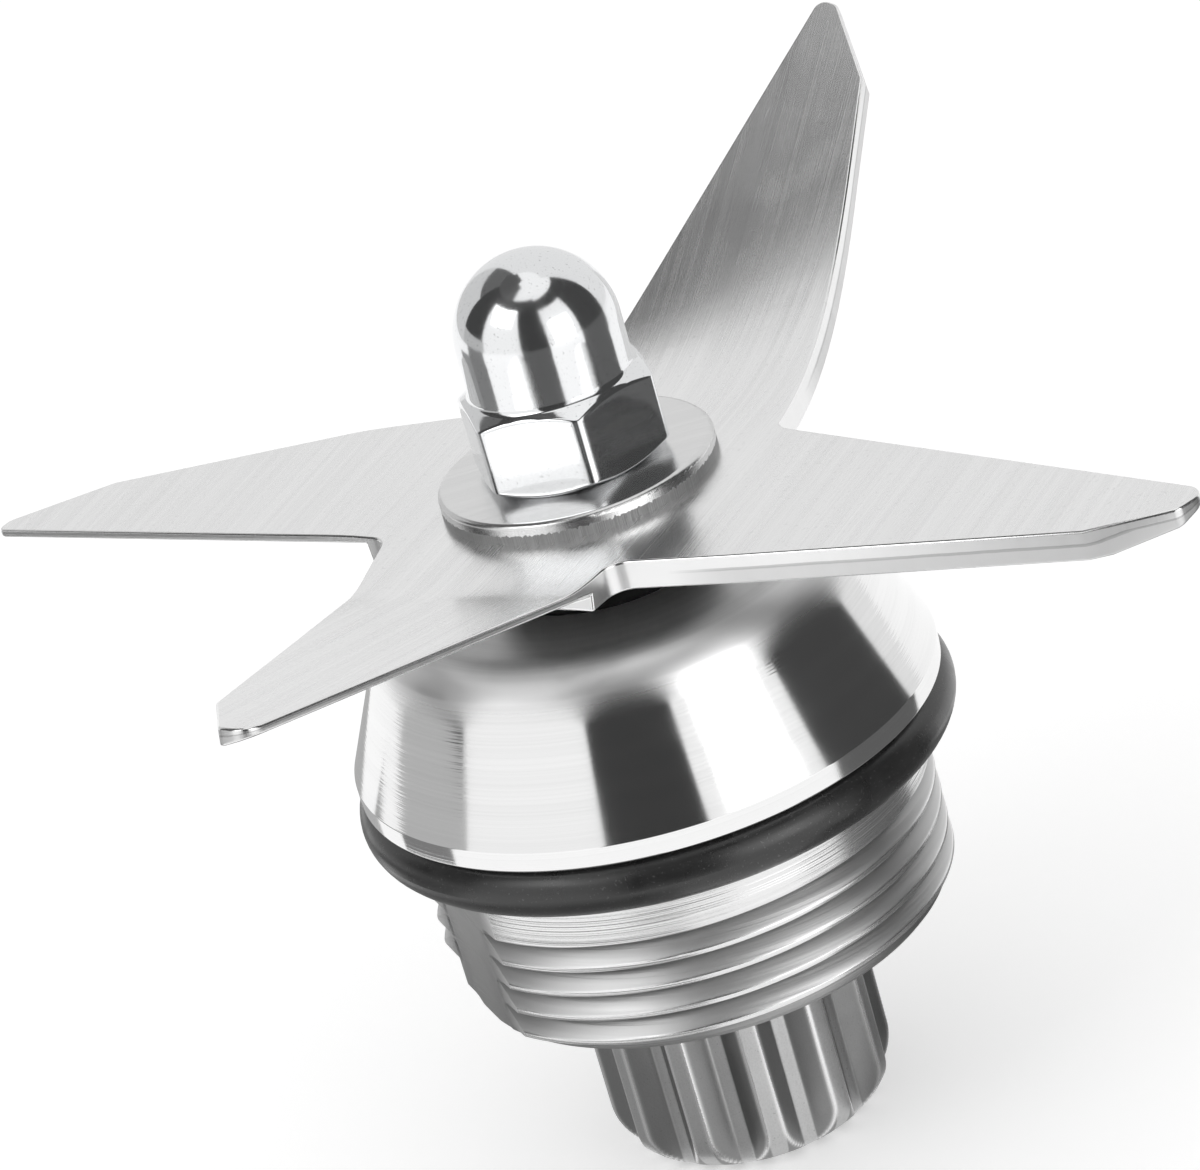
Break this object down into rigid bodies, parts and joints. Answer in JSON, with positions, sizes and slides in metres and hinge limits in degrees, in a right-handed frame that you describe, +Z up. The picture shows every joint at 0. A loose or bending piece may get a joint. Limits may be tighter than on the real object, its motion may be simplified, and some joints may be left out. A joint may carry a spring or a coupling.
{
  "type": "blender blade assembly",
  "caption": "Bent cutting blade under a cap nut, on a shaft that runs in a threaded bearing housing with a rubber sealing ring, above a toothed drive spline.",
  "frame": {"origin": "centre of the drive spline's flat foot, on the shaft's axis", "axes": "+Z up the shaft's axis from the drive spline to the cap nut, and the picture looks along +Y and down"},
  "size_m": [0.0663, 0.0663, 0.0573],
  "materials": {
    "blade_steel": "brushed along the sheet",
    "nut_chrome": "mirror plated",
    "washer_steel": "punched and tumbled",
    "housing_steel": "bright turned",
    "ring_rubber": "satin moulded",
    "seal_rubber": "matt moulded",
    "spline_steel": "sintered, worn bright on the teeth",
    "shaft_steel": "ground",
    "clip_steel": "dark phosphate",
    "bearing_steel": "ground",
    "ball_steel": "polished",
    "cage_steel": "pressed",
    "shield_steel": "pressed"
  },
  "bodies": {
    "bearing_housing": {"housing": "housing_steel", "o_ring": "ring_rubber", "shaft_seal": "seal_rubber", "upper_outer_ring": "bearing_steel", "lower_outer_ring": "bearing_steel", "outer_spacer": "shaft_steel", "retaining_ring": "clip_steel", "upper_top_shield": "shield_steel", "upper_bottom_shield": "shield_steel", "lower_top_shield": "shield_steel", "lower_bottom_shield": "shield_steel"},
    "rotor": {"shaft": "shaft_steel", "cap_nut": "nut_chrome", "flat_washer": "washer_steel", "blade": "blade_steel", "blade_spacer": "shaft_steel", "drive_spline": "spline_steel", "upper_inner_ring": "bearing_steel", "lower_inner_ring": "bearing_steel", "inner_spacer": "shaft_steel"},
    "upper_ball_set": {"upper_balls": "ball_steel", "upper_cage": "cage_steel"},
    "lower_ball_set": {"lower_balls": "ball_steel", "lower_cage": "cage_steel"}
  },
  "joints": [
    {"name": "rotor_spin", "type": "hinge", "parent": "bearing_housing", "child": "rotor", "pos_m": [0, 0, 0.0245], "axis": [0, 0, 1], "continuous": true},
    {"name": "upper_ball_spin", "type": "hinge", "parent": "bearing_housing", "child": "upper_ball_set", "pos_m": [0, 0, 0.0245], "axis": [0, 0, 1], "continuous": true},
    {"name": "lower_ball_spin", "type": "hinge", "parent": "bearing_housing", "child": "lower_ball_set", "pos_m": [0, 0, 0.0245], "axis": [0, 0, 1], "continuous": true}
  ],
  "couplings": [
    {"joint": "upper_ball_spin", "follows": "rotor_spin", "ratio": 0.36767},
    {"joint": "lower_ball_spin", "follows": "rotor_spin", "ratio": 0.36767}
  ]
}
